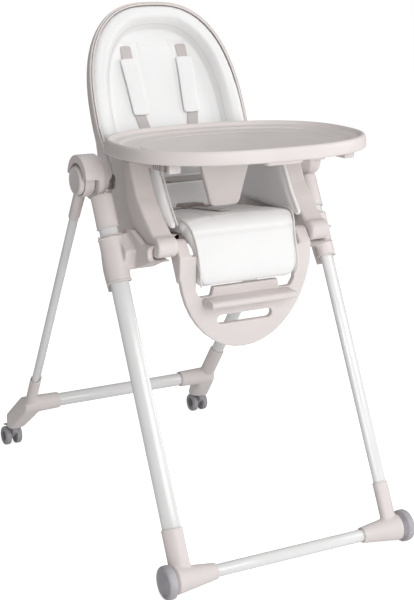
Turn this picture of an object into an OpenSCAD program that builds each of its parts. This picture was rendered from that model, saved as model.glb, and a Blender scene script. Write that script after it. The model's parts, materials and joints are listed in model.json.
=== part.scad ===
// Folding baby high chair. Millimetres, +Z up, front is -Y, the sitter's right is -X.
// The origin is on the floor, under the middle of the whole chair.

/* [Frame] */
// Distance from the middle of the chair to the middle of each front leg
leg_x = 242; // [240:1:244]
// Lean of the front legs from upright, in degrees
leg_lean = 28.3; // [28.1:0.1:28.5]
// Height of the fold axis above the floor
hub_z = 724; // [722:1:726]
// Lean of the rear legs from upright, in degrees
rear_lean = 31.3; // [31.1:0.1:31.5]
// Width of the oval front leg tube
leg_w = 37; // [36:0.5:38]
// Depth of the oval front leg tube
leg_d = 22; // [21:0.5:22.5]
// Diameter of the front cross tube
front_tube_d = 25; // [24:0.5:26]
// Diameter of the rear cross tube
rear_tube_d = 30; // [28:0.5:31]

/* [Feet and casters] */
// Radius of the round front foot caps
foot_cap_r = 33; // [32:0.5:33]
// Radius of the caster wheels
wheel_r = 22; // [21:0.5:22]
// Distance between the caster swivel and its wheel axle
caster_trail = 18; // [15:1:19]

/* [Seat] */
// Inside width of the seat between its side shells
seat_w = 304; // [300:1:308]
// Slope of the seat pan, rising to the front, in degrees
seat_slope = 9; // [8:0.5:10]
// Thickness of the seat cushion
seat_pad_t = 28; // [26:1:32]

/* [Backrest] */
// Half width of the backrest shell
back_r = 181; // [179:1:183]
// Lean of the backrest, in degrees
back_lean = 26; // [25.5:0.5:26.5]
// Depth of the backrest shell from its rim to its back
back_depth = 84; // [82:1:86]

/* [Tray] */
// Width of the tray
tray_w = 528; // [520:2:536]
// Depth of the tray from front to back
tray_d = 370; // [362:2:374]
// Height of the tray's wall
tray_h = 27; // [25:1:28]

/* [Leg rest] */
// Width of the slot in the leg rest
slot_w = 126; // [110:2:130]
// Width of the foot ledge
ledge_w = 196; // [180:2:200]

/* [Hidden] */

shell_col = [0.86, 0.82, 0.80];
tube_col = [0.95, 0.95, 0.94];
pad_col = [0.97, 0.97, 0.96];
foot_col = [0.58, 0.57, 0.60];
wheel_col = [0.50, 0.50, 0.53];
steel_col = [0.75, 0.76, 0.78];
strap_col = [0.74, 0.71, 0.69];

$fn = 48;
side_n = 48;          // sides of each swept oval
fit = 0.1;            // radial gap of a fixed joint between a tube and its socket
run = 0.05;           // radial gap of a running pin
slide_gap = 0.5;      // gap all round between a front leg and its slider
leg_foot_y = -415;
foot_axis_z = foot_cap_r;
leg_twist = 27;       // the oval's long side is turned, outer edge to the back
hub_y = -17;
rear_x = 263;         // rear leg at the hub
rear_toe = 2.4;       // rear legs run inwards towards the floor, in degrees
rear_w = 28.6;
rear_d = 17;
rear_twist = -40;
rear_end = 650;       // length of the rear leg below the hub
rear_bar_y = 353;
rear_bar_z = 119;
leg_top = 735;
housing_t = 688;
slider_low = 579;
slider_high = 672;
lever_top = slider_high - 14;
lever_y = 22.6;       // the lever's pivot, behind the leg's axis
hub_pin_r = 8;
caster_x = 252;
caster_y = 405;
deck_z = 49;          // underside of the rear feet
recline_y = 92;
recline_z = 628;
legrest_y = -186;
legrest_z = 614;
tray_y = -165;
tray_z = 801;
tray_tilt = -2;

// ---------- shared shapes ----------

function oval_pts(p, q, n = side_n) = [for (i = [0:n - 1]) [p * cos(360 * i / n), q * sin(360 * i / n)]];

function sgn_pow(v, e) = sign(v) * pow(abs(v), e);

// A squarer oval: power 2 is an ellipse, more is squarer.
function squircle_pts(p, q, power, n = 72) =
    [for (i = [0:n - 1]) let (a = 360 * i / n + 0.01)
        [p * sgn_pow(cos(a), 2 / power), q * sgn_pow(sin(a), 2 / power)]];

function arc_pts(cx, cy, r, a0, a1, n = 8) =
    [for (i = [0:n]) let (a = a0 + (a1 - a0) * i / n) [cx + r * cos(a), cy + r * sin(a)]];

module oval_bar(p, q, z0, z1) translate([0, 0, z0]) linear_extrude(z1 - z0) polygon(oval_pts(p, q));

// Cylinder along X from x0 to x1 on the axis (y, z).
module x_rod(x0, x1, y, z, r) translate([x0, y, z]) rotate([0, 90, 0]) cylinder(r = r, h = x1 - x0);

// A side profile drawn as [y, z] points, with thickness from x0 to x1.
module x_plate(x0, x1, pts) translate([x0, 0, 0]) rotate([90, 0, 90]) linear_extrude(x1 - x0) polygon(pts);

module on_leg() translate([leg_x, leg_foot_y, foot_axis_z]) rotate([-leg_lean, 0, 0]) children();

module on_rear_leg()
    translate([rear_x, hub_y, hub_z]) rotate([rear_lean, 0, 0]) rotate([0, rear_toe, 0]) children();

module leg_oval(grow, z0, z1)
    rotate([0, 0, leg_twist]) oval_bar(leg_w / 2 + grow, leg_d / 2 + grow, z0, z1);

module rear_oval(grow, s0, s1)
    rotate([0, 0, rear_twist]) oval_bar(rear_w / 2 + grow, rear_d / 2 + grow, -s1, -s0);

module both(side) mirror([side < 0 ? 1 : 0, 0, 0]) children();

// ---------- front frame ----------

tube_wall = 1.5;
leg_low = 32;

module front_leg(side) color(tube_col) both(side) on_leg() difference() {
    leg_oval(0, leg_low, leg_top);
    leg_oval(-tube_wall, leg_low - 1, leg_top + 1);
}

foot_out = 262;       // outer end of the foot fitting
foot_in = 169;        // inner end, where the cross tube enters
front_tube_end = 204;

module front_foot(side) color(shell_col) both(side) difference() {
    union() {
        on_leg() leg_oval(2.6, 6, 96.5);
        translate([foot_in, leg_foot_y, foot_axis_z]) rotate([0, 90, 0])
            cylinder(r1 = 16, r2 = 27, h = 88);
        x_rod(foot_in + 87, foot_out - 3, leg_foot_y, foot_axis_z, 27);
        x_rod(foot_out - 4, foot_out, leg_foot_y, foot_axis_z, 22);
        on_leg() translate([-7, 11, 74]) cube([14, 9, 16]);
    }
    on_leg() leg_oval(fit, leg_low, 100);
    x_rod(foot_in - 1, front_tube_end + 1, leg_foot_y, foot_axis_z, front_tube_d / 2 + fit);
    on_leg() translate([-8, 15, 73]) cube([16, 3, 12]);
}

// A round rubber cap with a soft edge, standing on the floor.
module foot_cap(side) color(foot_col) both(side)
    translate([foot_out, leg_foot_y, foot_axis_z]) rotate([0, 90, 0]) rotate_extrude()
        polygon(concat([[0, 0], [20, 0], [20, 2]], arc_pts(foot_cap_r - 2, 4, 2, -90, 0, 4),
            arc_pts(foot_cap_r - 5, 15, 5, 0, 90, 6), [[0, 21]]));

module front_cross_tube() color(tube_col) difference() {
    x_rod(-front_tube_end, front_tube_end, leg_foot_y, foot_axis_z, front_tube_d / 2);
    x_rod(-front_tube_end - 1, front_tube_end + 1, leg_foot_y, foot_axis_z, front_tube_d / 2 - tube_wall);
}

// Plastic head of a front leg: a sleeve, a drum round the fold axis and a hood over the hinge.
drum_in = 222;
drum_mid = 250;
drum_out = 279;
drum_r = 46;
knuckle_r = 33;

module leg_housing(side) color(shell_col) both(side) difference() {
    union() {
        on_leg() leg_oval(3.4, housing_t, leg_top + 22);
        translate([drum_in, hub_y - 4, hub_z + 6]) rotate([0, 90, 0])
            cylinder(r1 = drum_r - 14, r2 = drum_r, h = 18);
        x_rod(drum_in + 18, drum_mid, hub_y - 4, hub_z + 6, drum_r);
        intersection() {
            x_rod(drum_mid - 1, drum_out, hub_y - 4, hub_z + 6, drum_r);
            translate([drum_mid - 1, hub_y - 60, hub_z + knuckle_r * 0.25])
                cube([drum_out - drum_mid + 1, 120, 80]);
        }
    }
    on_leg() leg_oval(fit, housing_t - 1, leg_top + fit);
    x_rod(drum_mid, drum_out + 1, hub_y, hub_z, knuckle_r + 2);
    x_rod(drum_in + 4, drum_mid + 1, hub_y, hub_z, hub_pin_r);
    translate([drum_mid, hub_y - 4, hub_z - 80]) cube([40, 80, 70]);
}

pin_in = drum_in + 4;
knuckle_in = drum_mid + 0.5;
knuckle_out = 273;

module fold_pin(side) color(steel_col) both(side)
    x_rod(pin_in, knuckle_out - 6, hub_y, hub_z, hub_pin_r);

button_r = 29;

// Round button on the outside of each hinge. It sits in the knuckle's recess and clears the pin's end.
module fold_button(side) color(shell_col) both(side)
    translate([knuckle_out - 2, hub_y, hub_z]) rotate([0, 90, 0]) rotate_extrude()
        polygon(concat([[0, 0], [button_r, 0]], arc_pts(button_r - 4, 6, 4, 0, 90, 6), [[0, 11.5]]));

// ---------- rear frame ----------

module rear_knuckle(side) color(shell_col) both(side) difference() {
    union() {
        x_rod(knuckle_in, knuckle_out, hub_y, hub_z, knuckle_r);
        on_rear_leg() rear_oval(3, 20, 98);
    }
    x_rod(knuckle_in - 1, knuckle_out + 1, hub_y, hub_z, hub_pin_r + run);
    x_rod(knuckle_out - 5.5, knuckle_out + 20, hub_y, hub_z, button_r + 0.6);
    on_rear_leg() rear_oval(fit, 45, 99);
    translate([knuckle_in - 12, hub_y - 60, hub_z - 140]) cube([12, 160, 190]);
}

module rear_leg(side) color(tube_col) both(side) on_rear_leg() difference() {
    rear_oval(0, 46, rear_end);
    rear_oval(-tube_wall, 45, rear_end + 1);
}

rear_foot_in = 161;
rear_tube_end = 192;

// Boot-shaped rear foot: sleeve, arm for the cross tube, and a heel over the caster.
module rear_foot(side) color(shell_col) both(side) difference() {
    union() {
        on_rear_leg() rear_oval(3.2, 612, 690);
        translate([rear_foot_in, rear_bar_y, rear_bar_z]) rotate([0, 90, 0])
            cylinder(r1 = 18.5, r2 = 20, h = 60);
        hull() {
            x_rod(214, 250, rear_bar_y, rear_bar_z, 20);
            translate([caster_x, caster_y, deck_z]) cylinder(r = 17, h = 30, $fn = 32);
            translate([caster_x - 8, caster_y + 6, deck_z]) cylinder(r = 20, h = 8, $fn = 32);
        }
    }
    on_rear_leg() rear_oval(fit, 600, rear_end + fit);
    x_rod(rear_foot_in - 1, rear_tube_end + 1, rear_bar_y, rear_bar_z, rear_tube_d / 2 + fit);
    translate([caster_x, caster_y, deck_z - 1]) cylinder(r = stem_r + run, h = stem_h);
}

module rear_cross_tube() color(tube_col) difference() {
    x_rod(-rear_tube_end, rear_tube_end, rear_bar_y, rear_bar_z, rear_tube_d / 2);
    x_rod(-rear_tube_end - 1, rear_tube_end + 1, rear_bar_y, rear_bar_z, rear_tube_d / 2 - tube_wall);
}

stem_r = 5;
stem_h = 24;
axle_r = 3;
web_half = 6;         // half thickness of the caster body between its two wheels
wheel_half = 21;      // half of the width over both wheels
wheel_y = caster_y + caster_trail;
brake_y = wheel_y + 3;
brake_z = wheel_r + 24.3;

module caster_body(side) color(wheel_col) both(side) difference() {
    union() {
        translate([caster_x, caster_y, deck_z - 4]) cylinder(r = stem_r, h = stem_h);
        translate([caster_x, caster_y, deck_z - 4]) cylinder(r = 13, h = 3.5);
        x_plate(caster_x - web_half, caster_x + web_half, concat([[caster_y - 9, deck_z - 4],
            [caster_y - 9, deck_z - 12]], arc_pts(wheel_y, wheel_r, 8, 200, 340, 8),
            arc_pts(wheel_y, wheel_r, wheel_r - 0.8, 20, 88, 6), [[wheel_y, deck_z - 4]]));
    }
    x_rod(caster_x - 30, caster_x + 30, wheel_y, wheel_r, axle_r);
}

module caster_axle(side) color(steel_col) both(side)
    x_rod(caster_x - wheel_half + 3, caster_x + wheel_half - 3, wheel_y, wheel_r, axle_r);

// Two wheels on one axle, each a rounded tyre with a dished outer face.
module caster_wheels(side) color(wheel_col) both(side)
    for (s = [-1, 1]) translate([caster_x, wheel_y, wheel_r]) rotate([0, 90 * s, 0]) difference() {
        translate([0, 0, web_half + 0.6]) rotate_extrude() polygon(concat([[0, 0]],
            arc_pts(wheel_r - 3, 3, 3, -90, 0, 4), arc_pts(wheel_r - 5, 9, 5, 0, 90, 5), [[0, 14]]));
        translate([0, 0, wheel_half - 2]) cylinder(r = wheel_r - 7, h = 4);
        cylinder(r = axle_r + run, h = wheel_half - 3 + run);
    }

// Small foot lever over the back of each caster.
module caster_brake(side) color(foot_col) both(side) {
    x_rod(caster_x - 11, caster_x + 11, brake_y, brake_z, 1.2);
    x_plate(caster_x - 11, caster_x + 11, [[brake_y, brake_z - 1.1], [brake_y + 21, brake_z - 6],
        [brake_y + 21.5, brake_z - 3.5], [brake_y, brake_z + 1.2]]);
}

// ---------- seat ----------

seat_in = seat_w / 2;
panel_out = seat_in + 14;
lip_out = seat_in + 44;
pin_grip = 8;
bracket_out = lip_out + 13;

// Sleeve that slides on a front leg, with the bracket that carries the seat.
module seat_slider(side) color(shell_col) both(side) difference() {
    union() {
        on_leg() leg_oval(5.5, slider_low, slider_high);
        x_plate(panel_out + 0.2, bracket_out, [[-70, 553], [-140, 567], [-190, 590], [-214, 596], [-150, 599],
            [-62, 591], [-52, 575]]);
        x_plate(lip_out + 0.5, bracket_out, concat([[-70, 553], [-140, 567], [-190, 588]],
            arc_pts(-212, 610, 18, -60, 80, 6), [[-170, 622], [-120, 640], [-86, 636], [-62, 600]]));
        x_plate(bracket_out - 1, leg_x - 10, [[-84, 558], [-140, 566], [-146, 606], [-104, 632], [-70, 600]]);
    }
    on_leg() leg_oval(slide_gap, slider_low - 20, slider_high + 20);
}

// Squeeze lever behind each slider.
module height_lever(side) color(shell_col) both(side) on_leg() {
    x_rod(-9, 13, lever_y, lever_top - 3, 3.2);
    x_plate(-9, 13, concat([[19.2, lever_top], [27, slider_low - 8]],
        arc_pts(29.5, slider_low - 8, 2.5, 180, 330, 5), [[35, slider_low + 14], [36.5, slider_low + 34],
        [32.5, slider_low + 58], [25, lever_top + 2]]));
}

// The side of the seat: an upright panel with a broad rounded lip along its front edge.
module seat_side(side) color(shell_col) both(side) difference() { union() {
    x_plate(seat_in, panel_out, concat([[-150, 600], [-60, 592], [30, 592]],
        arc_pts(recline_y, recline_z, 14, -80, 40, 8), [[88, 655], [44, 690], [39, 700], [68, 762],
        [62, 768], [-84, 768], [-104, 730], [-140, 670]]));
    x_plate(seat_in, lip_out, concat([[-48, 767], [-85, 768], [-95, 744], [-118, 704], [-154, 668]],
        arc_pts(-196, 620, 21, 75, 250, 8), [[-150, 600], [-104, 636], [-74, 684], [-58, 730]]));
    }
    x_rod(seat_in - 1, seat_in + pin_grip, recline_y, recline_z, 6);
    x_rod(seat_in - 1, seat_in + pin_grip, legrest_y, legrest_z, 5);
}

// Seat pan, sloping down to the back.
pan_front = -198;
pan_back = 62;
pan_low = 600;

pan_shoulder = -150;
pan_top = pan_low + 38;

function pan_z(y) = pan_top - (y - pan_front) * tan(seat_slope);

module seat_pan() color(shell_col) {
    x_plate(-118, 118, [[pan_front + 4, pan_low + 20], [pan_front, pan_low + 32],
        [pan_front + 8, pan_z(pan_front + 8)], [pan_shoulder + 1, pan_z(pan_shoulder + 1)],
        [pan_shoulder + 1, pan_low + 14]]);
    x_plate(-seat_in + 0.2, seat_in - 0.2, [[pan_shoulder, pan_low + 14], [pan_shoulder, pan_z(pan_shoulder)],
        [pan_back, pan_z(pan_back)], [pan_back, pan_low - 18], [pan_back - 20, pan_low - 24], [-60, pan_low - 4]]);
}

// Frame of the seat pan's top face, with +Y running back down the slope.
module on_pan() translate([0, pan_front + 6, pan_top + 0.6]) rotate([-seat_slope, 0, 0]) children();

module seat_pad() color(pad_col) on_pan()
    x_plate(-seat_in + 21, seat_in - 21, concat([[0, 0]], arc_pts(14, seat_pad_t - 14, 14, 180, 90, 6),
        arc_pts(238, seat_pad_t - 8, 8, 90, 0, 4), [[246, 0]]));

// Padded lining inside each seat side.
module side_pad(side) color(pad_col) both(side)
    x_plate(seat_in - 18, seat_in - 0.5, [[-180, 645], [-184, 654], [-152, 690], [-122, 736], [-104, 762],
        [-60, 760], [66, 754], [72, 742], [60, 690], [52, 640], [-60, 640]]);

// ---------- backrest ----------

back_straight = 163;  // the sides curve in above this height
back_taper = 0.115;   // and draw in below it
back_power = 2.6;

// Outline of the backrest in its own plane, with x across and y up from the recline axis.
function back_outline(r, low, top) = let (foot = r - (back_straight - low) * back_taper)
    concat([[foot, low], [r, back_straight]],
        [for (i = [1:11]) let (a = 90 * i / 12) [r * sgn_pow(cos(a), 2 / back_power), back_straight
            + (top - back_straight) * pow(sin(a), 2 / back_power)]], [[0, top]],
        [for (i = [11:-1:1]) let (a = 90 * i / 12) [-r * sgn_pow(cos(a), 2 / back_power), back_straight
            + (top - back_straight) * pow(sin(a), 2 / back_power)]], [[-r, back_straight], [-foot, low]]);

module on_back()
    translate([0, recline_y, recline_z]) rotate([-back_lean, 0, 0]) rotate([90, 0, 0]) children();

// Here +Z of the rotated plane points to the front, away from the shell's back.
rim_z = 74;
back_top = 430;
back_low = 44;
back_wall = 5;

// The shell draws in towards its back in three steps: [inset, depth below the rim].
shell_steps = [[0, 28], [11, 56], [26, back_depth]];

// A slab parallel to the backrest, from z0 to z1 below the rim.
module back_slab(inset, low, z0, z1) on_back() translate([0, 0, rim_z - z0]) linear_extrude(z0 - z1)
    polygon(back_outline(back_r - inset, low, back_top - inset));

module backrest_shell() color(shell_col) difference() {
    for (step = shell_steps) back_slab(step[0], back_low, step[1], step[1] - 28);
    for (step = shell_steps) back_slab(step[0] + back_wall, back_low - 10, step[1] - back_wall, -1);
}

// Hinge arms that carry the backrest on the recline pins, each with a tongue inside the shell.
arm_t = 30;
shell_back = rim_z - back_depth;
shell_face = shell_back + back_wall;

module recline_arms() color(shell_col) difference() {
    for (s = [-1, 1]) both(s) on_back() {
        translate([seat_in - 2, 0, 0]) rotate([0, -90, 0]) linear_extrude(arm_t)
            polygon(concat([[shell_back, back_low]], arc_pts(0, 0, 15, 200, 345, 10), [[14, back_low]]));
        translate([seat_in - 2 - arm_t, back_low - 1, shell_face]) cube([15, 18, 14 - shell_face]);
    }
    x_rod(-seat_in - 2, seat_in + 2, recline_y, recline_z, 6 + run);
}

// Cushion with raised bolsters round its sides and top.
module backrest_pad() color(pad_col) union() {
    back_slab(33, 64, back_depth - back_wall - 1, 40);
    on_back() translate([-118, 46, shell_face + 1]) cube([236, 30, 38]);
    difference() {
        union() {
            back_slab(18, 110, 50, 21);
            back_slab(7, 110, 22, -2);
        }
        back_slab(46, 100, 51, -3);
    }
}

module recline_handle() color(foot_col) on_back()
    translate([-45, 300, shell_back - 16]) difference() {
        cube([90, 34, 15.6]);
        translate([10, 8, -1]) cube([70, 26.1, 13]);
    }

module recline_pins() color(steel_col) for (s = [-1, 1]) both(s)
    x_rod(seat_in - 34, seat_in + pin_grip, recline_y, recline_z, 6);

// ---------- harness ----------

module shoulder_strap(side) color(strap_col) both(side) on_back()
    translate([48, 175, shell_back + 45]) cube([34, 150, 5]);

module waist_straps() color(strap_col) for (s = [-1, 1]) both(s)
    on_pan() translate([24, 196, seat_pad_t + 0.3]) cube([seat_in - 18.5 - 24, 26, 3]);

module harness_buckle() color(foot_col) on_pan() translate([-24, 188, seat_pad_t + 0.3]) cube([48, 42, 12]);

module crotch_strap() color(strap_col) on_pan() translate([-14, 92, seat_pad_t + 0.3]) cube([28, 96, 3]);

// ---------- leg rest ----------

rest_t = 14;
rest_front = -216;
rest_half = 150.5;
rest_low = 401;
rest_mid = 586;
ledge_z = 499;
calf_half = 112;
notch_in = 74;        // notches beside the plate between the calf pad and the ledge

// Lower half of an oval, from the right end round to the left end.
function bowl_pts(half, drop, z, n = 20) =
    [for (i = [0:n]) let (a = -180 * i / n) [half * cos(a), z + drop * sin(a)]];

module legrest_frame() color(shell_col) difference() {
    union() {
        translate([0, rest_front + rest_t, 0]) rotate([90, 0, 0]) linear_extrude(rest_t)
            polygon(concat([[rest_half, rest_mid + 14]], bowl_pts(rest_half, rest_mid - rest_low, rest_mid),
                [[-rest_half, rest_mid + 14]]));
        for (s = [-1, 1]) both(s) x_plate(rest_half - 26, rest_half, concat([[rest_front, rest_mid - 30]],
            [[rest_front + rest_t, rest_mid - 40], [legrest_y + 14, legrest_z - 12]],
            arc_pts(legrest_y, legrest_z, 16, -35, 150, 8), [[rest_front, rest_mid + 14]]));
    }
    translate([0, rest_front - 1 + rest_t + 2, 0]) rotate([90, 0, 0]) linear_extrude(rest_t + 3)
        polygon([[calf_half + 0.3, rest_mid + 40], [calf_half + 0.3, 530], [calf_half - 8, ledge_z + 16],
            [notch_in + 4, ledge_z + 16], [notch_in, 533], [-notch_in, 533], [-notch_in - 4, ledge_z + 16],
            [8 - calf_half, ledge_z + 16], [-calf_half - 0.3, 530], [-calf_half - 0.3, rest_mid + 40]]);
    for (x = [9 - slot_w / 2, slot_w / 2 - 9])
        translate([x, rest_front + rest_t + 1, 464]) rotate([90, 0, 0]) cylinder(r = 9, h = rest_t + 2);
    translate([-slot_w / 2 + 9, rest_front - 1, 455]) cube([slot_w - 18, rest_t + 2, 18]);
    x_rod(-rest_half - 1, rest_half + 1, legrest_y, legrest_z, 5 + run);
}

module legrest_pins() color(steel_col) for (s = [-1, 1]) both(s)
    x_rod(rest_half - 24, seat_in + pin_grip, legrest_y, legrest_z, 5);

module calf_pad() color(pad_col)
    x_plate(-calf_half, calf_half, [[rest_front + 12, 534], [rest_front - 8, 536], [rest_front - 14, 560],
        [rest_front - 8, 592], [rest_front + 4, 600], [rest_front + 16, 598]]);

module foot_ledge() color(shell_col)
    x_plate(-ledge_w / 2, ledge_w / 2, concat([[rest_front - 0.3, ledge_z]], [[rest_front - 33, ledge_z]],
        arc_pts(rest_front - 33, ledge_z + 7.5, 7.5, 270, 90, 6), [[rest_front - 0.3, ledge_z + 15]]));

// ---------- tray ----------

module on_tray() translate([0, tray_y, tray_z]) rotate([tray_tilt, 0, 0]) children();

tray_power = 2.45;
tray_rail_in = 182;
tray_rail_out = 206;
latch_y = -92;
latch_len = 34;

module tray_dish() color(shell_col) on_tray() difference() {
    translate([0, 0, -tray_h + 20]) linear_extrude(tray_h)
        polygon(squircle_pts(tray_w / 2, tray_d / 2, tray_power));
    translate([0, 0, 6]) linear_extrude(20)
        polygon(squircle_pts(tray_w / 2 - 14, tray_d / 2 - 14, tray_power));
    translate([0, 0, -tray_h + 19]) linear_extrude(tray_h - 17)
        polygon(squircle_pts(tray_w / 2 - 4, tray_d / 2 - 4, tray_power));
}

module tray_rails() color(shell_col) for (s = [-1, 1]) both(s) on_tray()
    difference() {
        translate([tray_rail_in, -107, -26]) cube([tray_rail_out - tray_rail_in, 190, 28]);
        translate([tray_rail_out - 9, latch_y - 1, -23]) cube([10, latch_len + 2, 15]);
    }

module crotch_guard() color(shell_col) on_tray() translate([0, 57, 0]) rotate([90, 0, 0]) linear_extrude(14)
    polygon(concat([[64, 1.9], [54, -50]], arc_pts(20, -113, 16, 0, -90, 6),
        arc_pts(-20, -113, 16, -90, -180, 6), [[-54, -50], [-64, 1.9]]));

module tray_release() color(shell_col) on_tray() translate([-40, -tray_d / 2 + 5, -14]) cube([80, 22, 14]);

module tray_latch(side) color(foot_col) both(side) on_tray()
    translate([tray_rail_out - 4, latch_y, -22]) cube([14, latch_len, 13]);

front_leg(-1);  // front_leg_left
front_leg(1);  // front_leg_right
front_foot(-1);  // front_foot_left
front_foot(1);  // front_foot_right
foot_cap(-1);  // foot_cap_left
foot_cap(1);  // foot_cap_right
front_cross_tube();
leg_housing(-1);  // leg_housing_left
leg_housing(1);  // leg_housing_right
fold_pin(-1);  // fold_pin_left
fold_pin(1);  // fold_pin_right
fold_button(-1);  // fold_button_left
fold_button(1);  // fold_button_right
rear_knuckle(-1);  // rear_knuckle_left
rear_knuckle(1);  // rear_knuckle_right
rear_leg(-1);  // rear_leg_left
rear_leg(1);  // rear_leg_right
rear_foot(-1);  // rear_foot_left
rear_foot(1);  // rear_foot_right
rear_cross_tube();
caster_body(-1);  // caster_body_left
caster_body(1);  // caster_body_right
caster_wheels(-1);  // caster_wheels_left
caster_wheels(1);  // caster_wheels_right
caster_axle(-1);  // caster_axle_left
caster_axle(1);  // caster_axle_right
caster_brake(-1);  // caster_brake_left
caster_brake(1);  // caster_brake_right
seat_slider(-1);  // seat_slider_left
seat_slider(1);  // seat_slider_right
height_lever(-1);  // height_lever_left
height_lever(1);  // height_lever_right
seat_side(-1);  // seat_side_left
seat_side(1);  // seat_side_right
seat_pan();
seat_pad();
side_pad(-1);  // side_pad_left
side_pad(1);  // side_pad_right
backrest_shell();
recline_arms();
backrest_pad();
recline_handle();
recline_pins();
shoulder_strap(-1);  // shoulder_strap_left
shoulder_strap(1);  // shoulder_strap_right
waist_straps();
harness_buckle();
crotch_strap();
legrest_frame();
legrest_pins();
calf_pad();
foot_ledge();
tray_dish();
tray_rails();
crotch_guard();
tray_release();
tray_latch(-1);  // tray_latch_left
tray_latch(1);  // tray_latch_right
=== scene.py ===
import json
import math

import bpy
from mathutils import Matrix, Vector
from mathutils.kdtree import KDTree

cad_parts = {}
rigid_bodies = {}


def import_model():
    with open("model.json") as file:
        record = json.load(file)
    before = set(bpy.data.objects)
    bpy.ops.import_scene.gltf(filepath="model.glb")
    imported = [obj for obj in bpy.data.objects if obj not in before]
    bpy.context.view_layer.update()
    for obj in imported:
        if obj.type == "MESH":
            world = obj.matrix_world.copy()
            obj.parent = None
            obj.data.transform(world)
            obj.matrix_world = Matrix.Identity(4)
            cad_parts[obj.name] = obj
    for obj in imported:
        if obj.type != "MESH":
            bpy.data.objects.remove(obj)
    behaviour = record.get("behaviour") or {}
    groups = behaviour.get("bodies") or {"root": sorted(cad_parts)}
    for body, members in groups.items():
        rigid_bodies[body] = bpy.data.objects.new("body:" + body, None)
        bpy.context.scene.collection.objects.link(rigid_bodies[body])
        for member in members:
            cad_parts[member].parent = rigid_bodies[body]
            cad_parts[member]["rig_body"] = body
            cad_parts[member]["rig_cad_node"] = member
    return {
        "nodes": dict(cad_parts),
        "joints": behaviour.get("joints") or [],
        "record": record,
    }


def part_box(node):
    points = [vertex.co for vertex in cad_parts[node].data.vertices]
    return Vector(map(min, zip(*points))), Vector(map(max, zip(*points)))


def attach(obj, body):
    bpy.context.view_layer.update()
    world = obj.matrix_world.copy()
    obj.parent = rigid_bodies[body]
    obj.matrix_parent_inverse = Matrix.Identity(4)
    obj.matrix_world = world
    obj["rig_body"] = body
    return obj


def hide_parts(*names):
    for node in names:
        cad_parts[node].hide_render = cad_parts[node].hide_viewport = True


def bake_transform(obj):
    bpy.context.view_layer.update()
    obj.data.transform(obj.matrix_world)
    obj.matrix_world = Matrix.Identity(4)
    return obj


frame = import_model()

bl_info = {
    "name": "Baby High Chair",
    "version": (1, 0, 0),
    "blender": (4, 5, 0),
    "location": "View3D > Sidebar > High Chair",
    "description": "Builds the covers, shells, tubes and studio of a folding baby high chair on its frame",
    "category": "Object",
}

MM = 0.001
ACROSS = Vector((1, 0, 0))
SIDES = {"left": -1, "right": 1}
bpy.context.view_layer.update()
BODY_OF = {node: body for body, nodes in frame["record"]["behaviour"]["bodies"].items() for node in nodes}
JOINTS = {joint["name"]: joint for joint in frame["joints"]}


# ---------- sizes and colours ----------

def colour_of(name, description, default):
    return bpy.props.FloatVectorProperty(name=name, description=description, subtype="COLOR", default=default)


def length_of(name, description, default):
    return bpy.props.FloatProperty(name=name, description=description, unit="LENGTH", default=default)


class ChairShellSettings(bpy.types.PropertyGroup):
    """Moulded plastic, tubes and webbing."""
    shell_colour: colour_of("Shell", "Colour of the moulded shells", (0.69, 0.637, 0.622))
    tube_colour: colour_of("Tubes", "Colour of the painted tubes", (0.76, 0.757, 0.755))
    rubber_colour: colour_of("Feet", "Colour of the rubber foot caps", (0.42, 0.405, 0.43))
    caster_colour: colour_of("Casters", "Colour of the casters", (0.34, 0.33, 0.345))
    trim_colour: colour_of("Trim", "Colour of levers, latches and the buckle", (0.36, 0.31, 0.29))
    webbing_colour: colour_of("Webbing", "Colour of the harness", (0.70, 0.65, 0.635))
    edge_radius: length_of("Edge radius", "Rounding of moulded edges", 2.5 * MM)
    fillet_voxel: length_of("Fillet detail", "Mesh size of blended mouldings", 1.8 * MM)


class ChairCoverSettings(bpy.types.PropertyGroup):
    """Padded covers."""
    cover_colour: colour_of("Covers", "Colour of the leatherette", (0.83, 0.828, 0.825))
    piping_colour: colour_of("Piping", "Colour of the cord along the seams", (0.74, 0.70, 0.68))
    voxel: length_of("Cloth detail", "Mesh size of the stuffed covers", 5 * MM)
    pressure: bpy.props.FloatProperty(
        name="Stuffing", description="Pressure that fills a cover", default=4.0)
    frames: bpy.props.IntProperty(
        name="Frames", description="Steps that the filling takes", default=20)
    piping_radius: length_of("Piping radius", "Radius of the cord along the seams", 1.8 * MM)
    stitch_pitch: length_of("Stitch pitch", "Distance from stitch to stitch", 5 * MM)


class ChairStudioSettings(bpy.types.PropertyGroup):
    """Camera and light."""
    camera_place: bpy.props.FloatVectorProperty(
        name="Camera", description="Where the camera stands", subtype="XYZ", unit="LENGTH",
        default=(-1.3958, -2.5139, 1.3015))
    camera_heading: bpy.props.FloatProperty(
        name="Heading", description="Turn of the view from straight along +Y", subtype="ANGLE",
        default=math.radians(-29.3735))
    camera_pitch: bpy.props.FloatProperty(
        name="Pitch", description="Angle of the view below the horizon", subtype="ANGLE",
        default=math.radians(16.6775))
    camera_roll: bpy.props.FloatProperty(
        name="Roll", description="Tilt of the camera", subtype="ANGLE", default=math.radians(1.2074))
    lens: bpy.props.FloatProperty(
        name="Lens", description="Focal length on a 36 mm sensor, in millimetres", default=84.588)
    world_strength: bpy.props.FloatProperty(
        name="Sky", description="Strength of the even white light", default=0.33)
    key_power: bpy.props.FloatProperty(
        name="Key light", description="Power of the main soft light", subtype="POWER", default=68.0)
    floor_glow: bpy.props.FloatProperty(
        name="Floor glow", description="Light added to the floor as the camera sees it", default=0.70)
    floor_colour: colour_of("Floor", "Colour of the floor", (0.93, 0.93, 0.93))


def shells():
    return bpy.context.scene.chair_shells


def covers():
    return bpy.context.scene.chair_covers


def studio():
    return bpy.context.scene.chair_studio


# ---------- places on the chair ----------

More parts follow.
